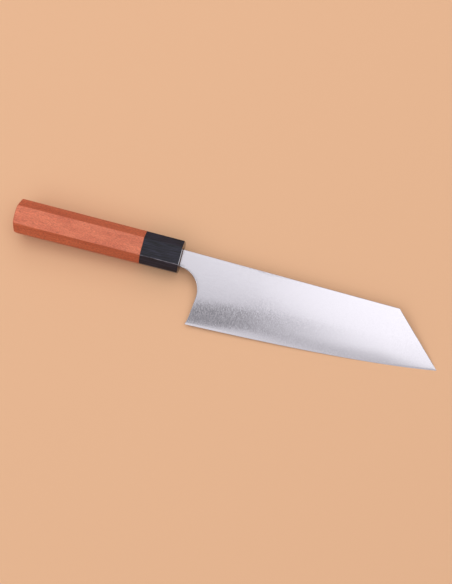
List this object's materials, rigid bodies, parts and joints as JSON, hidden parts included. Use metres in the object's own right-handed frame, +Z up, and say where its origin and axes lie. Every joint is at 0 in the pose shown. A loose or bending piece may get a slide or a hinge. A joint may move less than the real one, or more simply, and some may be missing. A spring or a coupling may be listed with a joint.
{
  "type": "bunka kitchen knife",
  "caption": "Tall fixed-blade kitchen knife with a clipped point, a finger hollow at the heel, a black ferrule and an octagonal reddish wooden handle.",
  "frame": {"origin": "on the table, under the middle of the knife's box as it lies on its side", "axes": "+X along the handle and blade towards the point, +Y from the edge towards the spine, +Z up from the table"},
  "size_m": [0.3246, 0.0588, 0.0249],
  "materials": {
    "blade_steel": "satin, fine polishing lines across the blade",
    "ferrule_black_wood": "black dyed resin-filled wood, polished",
    "handle_red_wood": "oiled, fine pores along the grain",
    "dowel_wood": "bare turned hardwood",
    "bedding_epoxy": "cured, cast in place",
    "seal_resin": "cured bead"
  },
  "bodies": {
    "root": {"blade": "blade_steel", "ferrule": "ferrule_black_wood", "handle_body": "handle_red_wood", "dowel": "dowel_wood", "tang_bedding": "bedding_epoxy", "mouth_seal": "seal_resin"}
  },
  "joints": []
}
